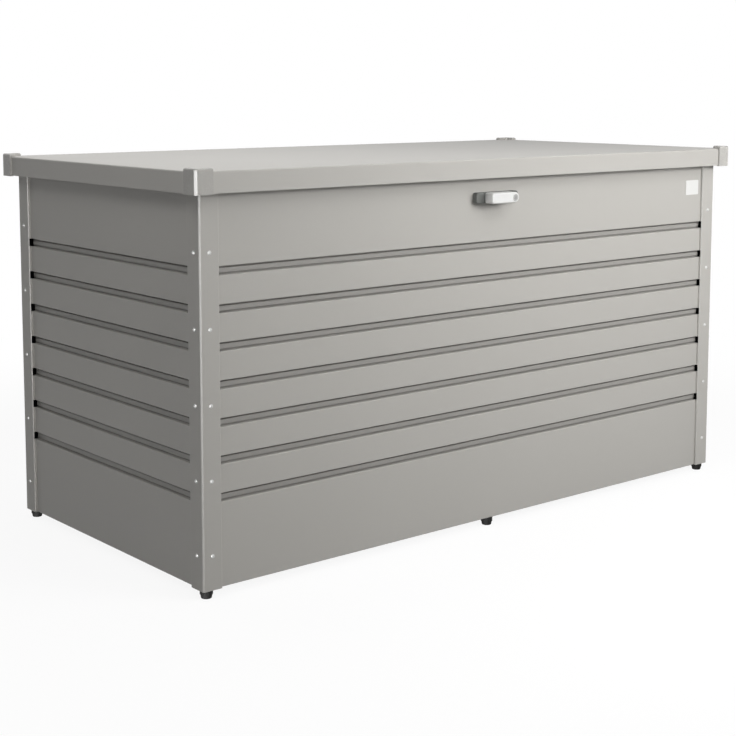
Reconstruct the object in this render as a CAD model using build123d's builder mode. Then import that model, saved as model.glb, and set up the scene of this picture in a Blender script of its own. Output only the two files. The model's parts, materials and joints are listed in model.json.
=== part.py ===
from build123d import *
import os
from math import asin, cos, radians, sin, sqrt

# Deck storage box of painted sheet metal: ribbed walls screwed to four corner posts, a folded
# lid with moulded corner caps on rear hinges, two gas struts and a turning lock handle.
# Millimetres. The origin is on the ground under the middle of the box, +X runs to the right
# along the front, +Y to the rear and +Z up.

# Body
BODY_LENGTH = 1540.0
BODY_DEPTH = 736.0
BODY_TOP = 812.0

# Corner posts
POST_FLANGE = 44.0
POST_SHEET = 2.0
POST_CORNER_RADIUS = 5.0
POST_LIP = 6.0
POST_LIP_RADIUS = 2.6

# Walls
WALL_SHEET = 1.0
WALL_BEND_RADIUS = 2.0
WALL_TOP_RETURN = 10.0
WALL_BOTTOM_RETURN = 20.0
WALL_POST_GAP = 2.0
WALL_CORNER_GAP = 1.0

# Grooves pressed into the walls
GROOVE_COUNT = 7
GROOVE_LOWEST = 195.3
GROOVE_TOP_DROP = 177.8
GROOVE_MOUTH = 17.0
GROOVE_LAND = 9.6
GROOVE_LAND_DEPTH = 6.0
GROOVE_DEPTH = 9.5
GROOVE_DRAFT = 0.5
GROOVE_CREST_RADIUS = 1.4
GROOVE_VALLEY_RADIUS = 1.1

# Seals that close the grooves' ends under the posts
SEAL_LENGTH = 16.0
SEAL_INSET = 1.0
SEAL_GAP = 0.4
SEAL_CORNER_RADIUS = 2.0

# Screws and nuts that hold the walls to the posts
SCREW_RADIUS = 2.0
SCREW_HEAD_RADIUS = 4.2
SCREW_HEAD_HEIGHT = 2.4
SCREW_SOCKET = 2.5
SCREW_SOCKET_DEPTH = 1.4
SCREW_TAIL = 1.0
SCREW_EDGE = 22.0
NUT_ACROSS_FLATS = 7.0
NUT_HEIGHT = 3.2
HOLE_CLEARANCE = 0.25
THREAD_CLEARANCE = 0.05
DRILL_REACH = 4.0

# Floor
FLOOR_SHEET = 1.0
FLOOR_GAP = 1.5
BEARER_END_GAP = 290.0
BEARER_WIDTH = 36.0
BEARER_FLANGE = 18.0
BEARER_DEPTH = 10.0
BEARER_GAP = 8.0
HAT_SHEET = 1.2
HAT_BEND_RADIUS = 2.0

# Feet
FOOT_HEIGHT = 18.0
FOOT_TOP_RADIUS = 13.5
FOOT_BOTTOM_RADIUS = 10.5
FOOT_EDGE_RADIUS = 1.5
FOOT_INSET = 18.0
FOOT_SCREW_RADIUS = 2.5
FOOT_SCREW_HEAD_RADIUS = 4.8
FOOT_SCREW_HEAD_HEIGHT = 3.0
FOOT_SCREW_SOCKET = 3.0
FOOT_SCREW_RECESS = 7.0
FOOT_NUT_ACROSS_FLATS = 8.0
FOOT_NUT_HEIGHT = 4.0

# Lid
LID_SIDE_OVERHANG = 20.5
LID_FRONT_OVERHANG = 22.5
LID_RISE = 13.0
LID_SKIRT = 42.0
LID_SHEET = 1.2
LID_RETURN = 8.0
LID_EDGE_RADIUS = 3.0
LID_CORNER_RADIUS = 4.0
STIFFENER_END_GAP = 290.0
STIFFENER_WIDTH = 36.0
STIFFENER_FLANGE = 18.0
STIFFENER_DEPTH = 18.0
STIFFENER_CATCH_GAP = 14.0
STIFFENER_RIM_GAP = 30.0

# Moulded caps on the lid's corners
CAP_LEG = 40.0
CAP_WALL = 4.5
CAP_RIM_WIDTH = 14.0
CAP_RIM_HEIGHT = 6.0
CAP_HOOK_WIDTH = 8.0
CAP_HOOK_HEIGHT = 1.5
CAP_END_RADIUS = 4.2
CAP_EDGE_RADIUS = 3.8

# Hinges
HINGE_END_GAP = 270.0
HINGE_WIDTH = 80.0
HINGE_STANDOFF = 10.0
HINGE_DROP = 2.0
HINGE_SHEET = 2.0
HINGE_BARREL_RADIUS = 5.0
HINGE_PIN_RADIUS = 2.5
HINGE_PIN_HEAD_RADIUS = 3.6
HINGE_PIN_HEAD = 1.2
HINGE_KNUCKLE = 20.0
HINGE_KNUCKLE_GAP = 1.0
HINGE_BODY_LEAF = 48.0
HINGE_LID_LEAF = 30.0
HINGE_BARREL_GAP = 3.0
RUNNING_CLEARANCE = 0.05

# Rivets of the hinges
RIVET_RADIUS = 2.0
RIVET_HEAD_RADIUS = 4.0
RIVET_HEAD_HEIGHT = 1.6
RIVET_CLEARANCE = 0.1
RIVET_EDGE = 12.0

# Gas struts
STRUT_WALL_GAP = 29.0
STRUT_SWING_RADIUS = 270.0
STRUT_BODY_ANGLE = 71.7
STRUT_LID_DROP = 23.8
STRUT_TUBE_RADIUS = 9.0
STRUT_TUBE_WALL = 1.5
STRUT_PISTON_CLEARANCE = 0.5
STRUT_PISTON_LENGTH = 8.0
STRUT_ROD_RADIUS = 4.0
STRUT_TUBE_START = 16.0
STRUT_TUBE_BASE = 6.0
STRUT_ROD_SHOWN = 75.0
STRUT_GLAND = 10.0
STRUT_PISTON_GAP = 4.0
STRUT_NECK_SHOULDER = 0.2
STRUT_EYE_RADIUS = 9.0
STRUT_EYE_WIDTH = 8.0
STUD_RADIUS = 4.0
STUD_COLLAR_RADIUS = 7.0
STUD_HEAD_RADIUS = 6.5
STUD_HEAD = 2.0
STUD_GAP = 0.3
BODY_BRACKET_SHEET = 3.0
BODY_BRACKET_WIDTH = 44.0
BODY_BRACKET_HEIGHT = 110.0
LID_BRACKET_SHEET = 2.0
LID_BRACKET_GAP = 6.0
LID_BRACKET_WIDTH = 44.0
LID_BRACKET_FOOT = 30.0
BRACKET_CORNER_RADIUS = 6.0

# Lock
LOCK_DROP = 72.5
LOCK_BASE_LENGTH = 126.0
LOCK_BASE_HEIGHT = 24.0
LOCK_BASE_DEPTH = 14.0
LOCK_BASE_RADIUS = 6.0
LOCK_BASE_EDGE = 2.5
BARREL_RADIUS = 9.0
BARREL_TAIL = 6.0
LOCK_NUT_ACROSS_FLATS = 26.0
LOCK_NUT_HEIGHT = 6.0
LEVER_LENGTH = 80.0
LEVER_HEIGHT = 23.0
LEVER_DEPTH = 24.0
LEVER_GAP = 2.0
LEVER_CORNER_RADIUS = 4.0
LEVER_EDGE_RADIUS = 2.5
LEVER_BOSS_RADIUS = 9.0
LEVER_BOSS_GAP = 0.3
SPINDLE_RADIUS = 5.0
SPINDLE_SQUARE = 6.6
SQUARE_CLEARANCE = 0.1
PLUG_RADIUS = 7.0
PLUG_DEPTH = 11.0
PLUG_PROUD = 1.0
PLUG_END_GAP = 0.5
KEYWAY_WIDTH = 2.0
KEYWAY_HEIGHT = 7.0
KEYWAY_DEPTH = 7.0
CAM_LENGTH = 48.0
CAM_WIDTH = 18.0
CAM_SHEET = 3.0
CAM_GAP = 2.0
CAM_SCREW_RADIUS = 2.0
CAM_SCREW_LENGTH = 8.0
CAM_SCREW_END_GAP = 2.0
CAM_SCREW_HEAD_RADIUS = 5.0
CAM_SCREW_HEAD = 2.5
CAM_SCREW_SOCKET = 2.5
CATCH_OFFSET = 36.0
CATCH_WIDTH = 32.0
CATCH_SHEET = 2.0
CATCH_GAP = 2.0
CATCH_LIP_GAP = 2.0
CATCH_FLANGE = 26.0

# Rubber buffers on the front rim
BUFFER_COUNT = 4
BUFFER_END_GAP = 170.0
BUFFER_RADIUS = 4.5
BUFFER_STEM_RADIUS = 2.0
BUFFER_BULB_RADIUS = 3.0
BUFFER_BULB = 4.0
BUFFER_GAP = 0.3

# Blank plate at the front's upper right
PLATE_WIDTH = 48.0
PLATE_HEIGHT = 36.0
PLATE_THICKNESS = 0.8
PLATE_RADIUS = 3.0
PLATE_POST_GAP = 11.0
PLATE_DROP = 82.5

# Places that follow from the sizes above
POST_X = BODY_LENGTH / 2
POST_Y = BODY_DEPTH / 2
WALL_X = POST_X - POST_LIP
WALL_Y = POST_Y - POST_LIP
RIB_DEPTH = GROOVE_DEPTH + WALL_SHEET
HINGE_SPACING = POST_X - HINGE_END_GAP
BEARER_SPACING = POST_X - BEARER_END_GAP
STIFFENER_SPACING = POST_X - STIFFENER_END_GAP
BUFFER_SPACING = 2 * (POST_X - BUFFER_END_GAP) / (BUFFER_COUNT - 1)
GROOVE_PITCH = (BODY_TOP - GROOVE_TOP_DROP - GROOVE_LOWEST) / (GROOVE_COUNT - 1)
LONG_WALL = 2 * (POST_X - POST_SHEET - WALL_POST_GAP)
LONG_RETURN = WALL_X - WALL_SHEET - WALL_CORNER_GAP
SHORT_WALL = 2 * (WALL_Y - RIB_DEPTH - WALL_CORNER_GAP)
FLOOR_BOTTOM = FOOT_HEIGHT + WALL_SHEET
FLOOR_TOP = FLOOR_BOTTOM + FLOOR_SHEET
LID_LENGTH = BODY_LENGTH + 2 * LID_SIDE_OVERHANG
LID_DEPTH = BODY_DEPTH + 2 * LID_FRONT_OVERHANG
LID_TOP = BODY_TOP + LID_RISE
LID_BOTTOM = LID_TOP - LID_SKIRT
LID_UNDERSIDE = LID_TOP - LID_SHEET
HINGE_Y = WALL_Y + HINGE_STANDOFF
HINGE_Z = LID_BOTTOM - HINGE_DROP
LOCK_Z = BODY_TOP - LOCK_DROP
LEVER_BACK = WALL_Y + LOCK_BASE_DEPTH + LEVER_GAP
LEVER_FRONT = LEVER_BACK + LEVER_DEPTH
BARREL_END = WALL_Y - WALL_SHEET - LOCK_NUT_HEIGHT - BARREL_TAIL
CAM_FRONT = BARREL_END - CAM_GAP
CAM_BACK = CAM_FRONT - CAM_SHEET
CATCH_FRONT = CAM_BACK - CATCH_GAP
PLUG_X = LEVER_LENGTH / 2 - LEVER_HEIGHT / 2
STIFFENER_FRONT = CATCH_FLANGE + STIFFENER_CATCH_GAP - CATCH_FRONT
STIFFENER_REAR = WALL_Y - WALL_TOP_RETURN - STIFFENER_RIM_GAP
STRUT_X = WALL_X - STRUT_WALL_GAP
STRUT_BORE_RADIUS = STRUT_TUBE_RADIUS - STRUT_TUBE_WALL
STRUT_PISTON_RADIUS = STRUT_BORE_RADIUS - STRUT_PISTON_CLEARANCE
STRUT_NECK_RADIUS = STRUT_EYE_WIDTH / 2 - STRUT_NECK_SHOULDER

# The two strut pivots lie on one circle about the hinge, so the strut turns at exactly half the
# lid's rate and its rod stays in line with its tube
BODY_PIVOT = Vector(
    0,
    HINGE_Y - STRUT_SWING_RADIUS * cos(radians(STRUT_BODY_ANGLE)),
    HINGE_Z - STRUT_SWING_RADIUS * sin(radians(STRUT_BODY_ANGLE)),
)
LID_PIVOT_RISE = LID_UNDERSIDE - STRUT_LID_DROP - HINGE_Z
LID_PIVOT = Vector(0, HINGE_Y - sqrt(STRUT_SWING_RADIUS**2 - LID_PIVOT_RISE**2), HINGE_Z + LID_PIVOT_RISE)
STRUT_LENGTH = (LID_PIVOT - BODY_PIVOT).length
STRUT_LINE = (LID_PIVOT - BODY_PIVOT).normalized()

SIDES = {"left": -1, "right": 1}
ENDS = {"front": -1, "rear": 1}
HINGE_PLACES = {"left": -HINGE_SPACING, "middle": 0.0, "right": HINGE_SPACING}
FOOT_PLACES = {"left": -(POST_X - FOOT_INSET), "middle": 0.0, "right": POST_X - FOOT_INSET}
BEARER_PLACES = {"left": -BEARER_SPACING, "middle": 0.0, "right": BEARER_SPACING}
STIFFENER_PLACES = {"left": -STIFFENER_SPACING, "middle": 0.0, "right": STIFFENER_SPACING}

GROOVE_HEIGHTS = [GROOVE_LOWEST + GROOVE_PITCH * i for i in range(GROOVE_COUNT)]
SCREW_LOWEST = GROOVE_LOWEST - 1.5 * GROOVE_PITCH
SCREW_HEIGHTS = [SCREW_LOWEST + 2 * GROOVE_PITCH * i for i in range(GROOVE_COUNT // 2 + 2)]
FOOT_SPOTS = [(x, sy * (POST_Y - FOOT_INSET)) for x in FOOT_PLACES.values() for sy in ENDS.values()]
LONG_SCREW_SPOTS = [(sx * (POST_X - SCREW_EDGE), z) for sx in SIDES.values() for z in SCREW_HEIGHTS]
SHORT_SCREW_SPOTS = [(sy * (POST_Y - SCREW_EDGE), z) for sy in ENDS.values() for z in SCREW_HEIGHTS]
BUFFER_SPOTS = [
    (BUFFER_SPACING * (i - (BUFFER_COUNT - 1) / 2), -(WALL_Y - WALL_TOP_RETURN / 2))
    for i in range(BUFFER_COUNT)
]
HINGE_COLUMNS = [
    x + side * (HINGE_WIDTH / 2 - RIVET_EDGE) for x in HINGE_PLACES.values() for side in SIDES.values()
]
BODY_LEAF_TOP = HINGE_Z - HINGE_BARREL_RADIUS + HINGE_SHEET
BODY_LEAF_SPOTS = [
    (x, BODY_LEAF_TOP - HINGE_BODY_LEAF + rise)
    for x in HINGE_COLUMNS
    for rise in (RIVET_EDGE, HINGE_BODY_LEAF - RIVET_EDGE)
]
LID_LEAF_BOTTOM = LID_BOTTOM + LID_SHEET
LID_LEAF_SPOTS = [(x, LID_LEAF_BOTTOM + HINGE_LID_LEAF - RIVET_EDGE) for x in HINGE_COLUMNS]


def save(piece, name):
    """Label a finished piece and write it to its own file."""
    piece.part.label = name
    export_step(piece.part, f"parts/{name}.step")


def drill(plane, spots, radius, reach=DRILL_REACH):
    """Cut round holes through the piece being built, at spots on a plane."""
    with BuildSketch(plane) as holes:
        with Locations(*spots):
            Circle(radius)
    extrude(holes.sketch, amount=reach, both=True, mode=Mode.SUBTRACT)


def add_disc(plane, spot, radius, amount):
    """Add a round disc or pin to the piece being built, standing on a plane."""
    with BuildSketch(plane) as face:
        with Locations(spot):
            Circle(radius)
    extrude(face.sketch, amount=amount)


def place_at(spots, level, facing):
    """Give the seats of fasteners on a wall, post or leaf whose outside faces along facing."""
    up = (0, 0, 1)
    if facing.Y:
        return [Plane((u, level * facing.Y, z), x_dir=up, z_dir=facing) for u, z in spots]
    return [Plane((level * facing.X, u, z), x_dir=up, z_dir=facing) for u, z in spots]


def wall_fold():
    """Outer line of a wall's section, as distance inward and height, and the radius of each bend.

    Each groove is a pair of narrow valleys with a raised land between them.
    """
    mouth = GROOVE_MOUTH / 2
    land = GROOVE_LAND / 2
    groove = [
        (0, -mouth),
        (GROOVE_DEPTH, GROOVE_DRAFT - mouth),
        (GROOVE_DEPTH, -GROOVE_DRAFT - land),
        (GROOVE_LAND_DEPTH, -land),
        (GROOVE_LAND_DEPTH, land),
        (GROOVE_DEPTH, land + GROOVE_DRAFT),
        (GROOVE_DEPTH, mouth - GROOVE_DRAFT),
        (0, mouth),
    ]
    valley = [GROOVE_CREST_RADIUS, GROOVE_VALLEY_RADIUS, GROOVE_VALLEY_RADIUS, GROOVE_CREST_RADIUS]
    points = [(WALL_BOTTOM_RETURN, FOOT_HEIGHT), (0, FOOT_HEIGHT)]
    points += [(inward, height + rise) for height in GROOVE_HEIGHTS for inward, rise in groove]
    points += [(0, BODY_TOP), (WALL_TOP_RETURN, BODY_TOP)]
    return points, [WALL_BEND_RADIUS] + 2 * GROOVE_COUNT * valley + [WALL_BEND_RADIUS]


def fold_wall(name, outward, distance, length, holes, trims):
    """One ribbed wall with inward returns at its top and bottom edges.

    holes are (plane, spots, radius); trims are (height, half length) of returns that stop short
    of the neighbouring walls' returns.
    """
    along = Vector(0, 0, 1).cross(outward)
    section = Plane(outward * distance - along * (length / 2), x_dir=-outward, z_dir=along)
    points, radii = wall_fold()
    with BuildPart() as wall:
        with BuildSketch(section):
            with BuildLine():
                FilletPolyline(*points, radius=radii)
                offset(amount=WALL_SHEET, side=Side.RIGHT)
            make_face()
        extrude(amount=length)
        for height, half_length in trims:
            for way in (-1, 1):
                with BuildSketch(section.offset(length / 2 + way * half_length)):
                    with Locations((WALL_SHEET, height)):
                        Rectangle(
                            WALL_BOTTOM_RETURN, 2 * WALL_BEND_RADIUS, align=(Align.MIN, Align.CENTER)
                        )
                extrude(amount=way * WALL_BOTTOM_RETURN, mode=Mode.SUBTRACT)
        for plane, spots, radius in holes:
            drill(plane, spots, radius)
    save(wall, name)


def fold_post(name, sx, sy):
    """One corner post: two flanges with inward lips that let the wall's grooves run through."""
    corner = Plane(
        (sx * POST_X, sy * POST_Y, FOOT_HEIGHT), x_dir=(-sx, 0, 0), z_dir=(0, 0, sx * sy)
    )
    fold = [
        (POST_FLANGE, POST_LIP),
        (POST_FLANGE, 0),
        (0, 0),
        (0, POST_FLANGE),
        (POST_LIP, POST_FLANGE),
    ]
    lip_reach = POST_LIP - POST_SHEET
    lip_middle = POST_SHEET + lip_reach / 2
    lip_edge = POST_FLANGE - POST_SHEET / 2
    with BuildPart() as post:
        with BuildSketch(corner):
            with BuildLine():
                FilletPolyline(*fold, radius=[POST_LIP_RADIUS, POST_CORNER_RADIUS, POST_LIP_RADIUS])
                offset(amount=POST_SHEET, side=Side.RIGHT)
            make_face()
        extrude(amount=sx * sy * (BODY_TOP - FOOT_HEIGHT))
        with Locations(*[(sx * (POST_X - lip_edge), sy * (POST_Y - lip_middle), z) for z in GROOVE_HEIGHTS]):
            Box(2 * POST_SHEET, lip_reach, GROOVE_MOUTH, mode=Mode.SUBTRACT)
        with Locations(*[(sx * (POST_X - lip_middle), sy * (POST_Y - lip_edge), z) for z in GROOVE_HEIGHTS]):
            Box(lip_reach, 2 * POST_SHEET, GROOVE_MOUTH, mode=Mode.SUBTRACT)
        radius = SCREW_RADIUS + HOLE_CLEARANCE
        drill(Plane.XZ.offset(-sy * POST_Y), [(sx * (POST_X - SCREW_EDGE), z) for z in SCREW_HEIGHTS], radius)
        drill(Plane.YZ.offset(sx * POST_X), [(sy * (POST_Y - SCREW_EDGE), z) for z in SCREW_HEIGHTS], radius)
    save(post, name)


def fold_hat(name, x, top, width, flange, depth, front, rear):
    """One hat-section stiffener that runs from front to rear with its flanges at the top."""
    side = width / 2
    fold = [
        (-side - flange, top),
        (-side, top),
        (-side, top - depth),
        (side, top - depth),
        (side, top),
        (side + flange, top),
    ]
    with BuildPart() as hat:
        with BuildSketch(Plane((x, rear, 0), x_dir=(1, 0, 0), z_dir=(0, -1, 0))):
            with BuildLine():
                FilletPolyline(*fold, radius=HAT_BEND_RADIUS)
                offset(amount=HAT_SHEET, side=Side.RIGHT)
            make_face()
        extrude(amount=rear - front)
    save(hat, name)


def turn_foot(name, x, y):
    """One tapered foot with a recess for its screw's head."""
    hole = FOOT_SCREW_RADIUS + HOLE_CLEARANCE
    recess = FOOT_SCREW_HEAD_RADIUS + HOLE_CLEARANCE
    with BuildPart() as foot:
        with BuildSketch(Plane((x, y, 0), x_dir=(1, 0, 0), z_dir=(0, -1, 0))):
            with BuildLine():
                Polyline(
                    (hole, FOOT_HEIGHT),
                    (FOOT_TOP_RADIUS, FOOT_HEIGHT),
                    (FOOT_BOTTOM_RADIUS, 0),
                    (recess, 0),
                    (recess, FOOT_SCREW_RECESS),
                    (hole, FOOT_SCREW_RECESS),
                    close=True,
                )
            make_face()
        revolve(axis=Axis((x, y, 0), (0, 0, 1)))
        rims = foot.edges().filter_by(GeomType.CIRCLE)
        fillet(rims.group_by(Axis.Z)[0].sort_by(SortBy.RADIUS)[-1], FOOT_EDGE_RADIUS)
    save(foot, name)


def mould_cap(name, sx, sy):
    """One moulded lid cap: two side legs, a raised rim on the lid and a hook under its skirt."""
    bands = [
        (CAP_WALL, LID_BOTTOM - CAP_HOOK_HEIGHT, LID_TOP + CAP_RIM_HEIGHT),
        (CAP_RIM_WIDTH, LID_TOP, LID_TOP + CAP_RIM_HEIGHT),
        (CAP_HOOK_WIDTH, LID_BOTTOM - CAP_HOOK_HEIGHT, LID_BOTTOM),
    ]
    corner_x = sx * (LID_LENGTH / 2 + CAP_WALL)
    corner_y = sy * (LID_DEPTH / 2 + CAP_WALL)
    with BuildPart() as cap:
        for width, bottom, top in bands:
            corner = Plane((corner_x, corner_y, bottom), x_dir=(-sx, 0, 0), z_dir=(0, 0, sx * sy))
            with BuildSketch(corner) as band:
                Rectangle(CAP_LEG, CAP_LEG, align=(Align.MIN, Align.MIN))
                outer = band.vertices().sort_by_distance((0, 0, 0))
                fillet(outer[0], LID_CORNER_RADIUS + CAP_WALL)
                fillet(outer[1:3], CAP_END_RADIUS)
                with Locations((width, width)):
                    Rectangle(CAP_LEG, CAP_LEG, align=(Align.MIN, Align.MIN), mode=Mode.SUBTRACT)
                inner = band.vertices().sort_by_distance((width, width, 0))[0]
                fillet(inner, LID_CORNER_RADIUS)
            extrude(amount=sx * sy * (top - bottom))
        rim_top = cap.faces().sort_by(Axis.Z)[-1]
        fillet(rim_top.edges(), CAP_EDGE_RADIUS)
    save(cap, name)


def hinge_body_leaf(name, x):
    """Hinge leaf on the rear wall, with the two outer knuckles."""
    half = HINGE_WIDTH / 2
    barrel = Plane.YZ.offset(x - half)
    with BuildPart() as leaf:
        with BuildSketch(barrel):
            with Locations((WALL_Y, BODY_LEAF_TOP)):
                Rectangle(HINGE_SHEET, HINGE_BODY_LEAF, align=(Align.MIN, Align.MAX))
        extrude(amount=HINGE_WIDTH)
        for start in (x - half, x + half - HINGE_KNUCKLE):
            with BuildSketch(Plane.YZ.offset(start)):
                with Locations((WALL_Y, BODY_LEAF_TOP)):
                    Rectangle(HINGE_STANDOFF, HINGE_SHEET, align=(Align.MIN, Align.MAX))
                with Locations((HINGE_Y, HINGE_Z)):
                    Circle(HINGE_BARREL_RADIUS)
                    Circle(HINGE_PIN_RADIUS + RUNNING_CLEARANCE, mode=Mode.SUBTRACT)
            extrude(amount=HINGE_KNUCKLE)
        spots = [spot for spot in BODY_LEAF_SPOTS if abs(spot[0] - x) < half]
        drill(Plane.XZ.offset(-WALL_Y), spots, RIVET_RADIUS + RIVET_CLEARANCE)
    save(leaf, name)


def hinge_lid_leaf(name, x):
    """Hinge leaf on the inside of the lid's rear skirt, with the middle knuckle."""
    half = HINGE_WIDTH / 2
    skirt_inside = LID_DEPTH / 2 - LID_SHEET
    flat_start = HINGE_Y + HINGE_BARREL_RADIUS + HINGE_BARREL_GAP
    knuckle = HINGE_WIDTH - 2 * HINGE_KNUCKLE - 2 * HINGE_KNUCKLE_GAP
    with BuildPart() as leaf:
        with BuildSketch(Plane.YZ.offset(x - half)):
            with Locations((skirt_inside, LID_LEAF_BOTTOM)):
                Rectangle(skirt_inside - flat_start, HINGE_SHEET, align=(Align.MAX, Align.MIN))
                Rectangle(HINGE_SHEET, HINGE_LID_LEAF, align=(Align.MAX, Align.MIN))
        extrude(amount=HINGE_WIDTH)
        with BuildSketch(Plane.YZ.offset(x - knuckle / 2)):
            with Locations((HINGE_Y, LID_LEAF_BOTTOM)):
                Rectangle(flat_start - HINGE_Y + HINGE_SHEET, HINGE_SHEET, align=(Align.MIN, Align.MIN))
            with Locations((HINGE_Y, HINGE_Z)):
                Circle(HINGE_BARREL_RADIUS)
                Circle(HINGE_PIN_RADIUS + RUNNING_CLEARANCE, mode=Mode.SUBTRACT)
        extrude(amount=knuckle)
        spots = [spot for spot in LID_LEAF_SPOTS if abs(spot[0] - x) < half]
        drill(Plane.XZ.offset(-skirt_inside), spots, RIVET_RADIUS + RIVET_CLEARANCE)
    save(leaf, name)


def hinge_pin(name, x):
    """Hinge pin with a flat head at each end."""
    half = HINGE_WIDTH / 2
    spot = (HINGE_Y, HINGE_Z)
    with BuildPart() as pin:
        add_disc(Plane.YZ.offset(x - half), spot, HINGE_PIN_RADIUS, HINGE_WIDTH)
        add_disc(Plane.YZ.offset(x - half), spot, HINGE_PIN_HEAD_RADIUS, -HINGE_PIN_HEAD)
        add_disc(Plane.YZ.offset(x + half), spot, HINGE_PIN_HEAD_RADIUS, HINGE_PIN_HEAD)
    save(pin, name)


def add_stud(sx, root, spot):
    """Add a strut's pivot stud to the bracket being built: collar, pin and retaining head."""
    near_face = STRUT_X + STRUT_EYE_WIDTH / 2
    far_face = STRUT_X - STRUT_EYE_WIDTH / 2
    head = far_face - STUD_GAP
    add_disc(Plane.YZ.offset(sx * root), spot, STUD_COLLAR_RADIUS, -sx * (root - near_face - STUD_GAP))
    add_disc(Plane.YZ.offset(sx * root), spot, STUD_RADIUS, -sx * (root - head))
    add_disc(Plane.YZ.offset(sx * head), spot, STUD_HEAD_RADIUS, -sx * STUD_HEAD)


def strut_body_bracket(name, sx):
    """Plate across the backs of the side wall's grooves, with the strut's lower stud."""
    plate_outside = WALL_X - RIB_DEPTH
    spot = (BODY_PIVOT.Y, BODY_PIVOT.Z)
    with BuildPart() as bracket:
        with BuildSketch(Plane.YZ.offset(sx * plate_outside)):
            with Locations(spot):
                RectangleRounded(BODY_BRACKET_WIDTH, BODY_BRACKET_HEIGHT, BRACKET_CORNER_RADIUS)
        extrude(amount=-sx * BODY_BRACKET_SHEET)
        add_stud(sx, plate_outside - BODY_BRACKET_SHEET, spot)
    save(bracket, name)


def strut_lid_bracket(name, sx):
    """Angle under the lid with the strut's upper stud."""
    plate_inside = STRUT_X + STRUT_EYE_WIDTH / 2 + LID_BRACKET_GAP
    plate_outside = plate_inside + LID_BRACKET_SHEET
    spot = (LID_PIVOT.Y, LID_PIVOT.Z)
    plate_drop = STRUT_LID_DROP + STUD_COLLAR_RADIUS + BRACKET_CORNER_RADIUS
    with BuildPart() as bracket:
        with BuildSketch(Plane.YZ.offset(sx * plate_outside)) as plate:
            with Locations((LID_PIVOT.Y, LID_UNDERSIDE)):
                Rectangle(LID_BRACKET_WIDTH, plate_drop, align=(Align.CENTER, Align.MAX))
            fillet(plate.vertices().group_by(Axis.Z)[0], BRACKET_CORNER_RADIUS)
        extrude(amount=-sx * LID_BRACKET_SHEET)
        with BuildSketch(Plane.XY.offset(LID_UNDERSIDE)):
            with Locations((sx * (plate_outside - LID_BRACKET_FOOT / 2), LID_PIVOT.Y)):
                Rectangle(LID_BRACKET_FOOT, LID_BRACKET_WIDTH)
        extrude(amount=-LID_BRACKET_SHEET)
        add_stud(sx, plate_inside, spot)
    save(bracket, name)


def strut_plane(sx):
    """Plane through a strut's axis: local x across the strut, local y along it from the body pivot."""
    across = Vector(1, 0, 0)
    return Plane((sx * STRUT_X, BODY_PIVOT.Y, BODY_PIVOT.Z), x_dir=across, z_dir=across.cross(STRUT_LINE))


def strut_cylinder(name, sx):
    """Gas strut's tube with a closed base, a gland for the rod and the lower eye."""
    plane = strut_plane(sx)
    tube_end = STRUT_LENGTH - STRUT_ROD_SHOWN
    gland = STRUT_ROD_RADIUS + RUNNING_CLEARANCE
    bore_start = STRUT_TUBE_START + STRUT_TUBE_BASE
    with BuildPart() as cylinder:
        with BuildSketch(plane):
            with BuildLine():
                Polyline(
                    (0, 0),
                    (STRUT_NECK_RADIUS, 0),
                    (STRUT_NECK_RADIUS, STRUT_TUBE_START),
                    (STRUT_TUBE_RADIUS, STRUT_TUBE_START),
                    (STRUT_TUBE_RADIUS, tube_end),
                    (gland, tube_end),
                    (gland, tube_end - STRUT_GLAND),
                    (STRUT_BORE_RADIUS, tube_end - STRUT_GLAND),
                    (STRUT_BORE_RADIUS, bore_start),
                    (0, bore_start),
                    close=True,
                )
            make_face()
        revolve(axis=Axis(plane.origin, STRUT_LINE))
        eye = Plane.YZ.offset(sx * STRUT_X - STRUT_EYE_WIDTH / 2)
        add_disc(eye, (BODY_PIVOT.Y, BODY_PIVOT.Z), STRUT_EYE_RADIUS, STRUT_EYE_WIDTH)
        middle = Plane.YZ.offset(sx * STRUT_X)
        drill(middle, [(BODY_PIVOT.Y, BODY_PIVOT.Z)], STUD_RADIUS + RUNNING_CLEARANCE, STRUT_EYE_WIDTH)
    save(cylinder, name)


def strut_rod(name, sx):
    """Gas strut's rod with its piston inside the tube and the upper eye."""
    plane = strut_plane(sx)
    piston_start = STRUT_TUBE_START + STRUT_TUBE_BASE + STRUT_PISTON_GAP
    with BuildPart() as rod:
        with BuildSketch(plane):
            with BuildLine():
                Polyline(
                    (0, piston_start),
                    (STRUT_PISTON_RADIUS, piston_start),
                    (STRUT_PISTON_RADIUS, piston_start + STRUT_PISTON_LENGTH),
                    (STRUT_ROD_RADIUS, piston_start + STRUT_PISTON_LENGTH),
                    (STRUT_ROD_RADIUS, STRUT_LENGTH - STRUT_TUBE_START),
                    (STRUT_NECK_RADIUS, STRUT_LENGTH - STRUT_TUBE_START),
                    (STRUT_NECK_RADIUS, STRUT_LENGTH),
                    (0, STRUT_LENGTH),
                    close=True,
                )
            make_face()
        revolve(axis=Axis(plane.origin, STRUT_LINE))
        eye = Plane.YZ.offset(sx * STRUT_X - STRUT_EYE_WIDTH / 2)
        add_disc(eye, (LID_PIVOT.Y, LID_PIVOT.Z), STRUT_EYE_RADIUS, STRUT_EYE_WIDTH)
        middle = Plane.YZ.offset(sx * STRUT_X)
        drill(middle, [(LID_PIVOT.Y, LID_PIVOT.Z)], STUD_RADIUS + RUNNING_CLEARANCE, STRUT_EYE_WIDTH)
    save(rod, name)


def dome_line(radius, height):
    """Add a domed head's arc to the section being drawn, from its rim to its crown."""
    sphere = (radius**2 + height**2) / (2 * height)
    half_turn = asin(radius / sphere) / 2
    middle = (sphere * sin(half_turn), height - sphere * (1 - cos(half_turn)))
    ThreePointArc((radius, 0), middle, (0, height))


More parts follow.
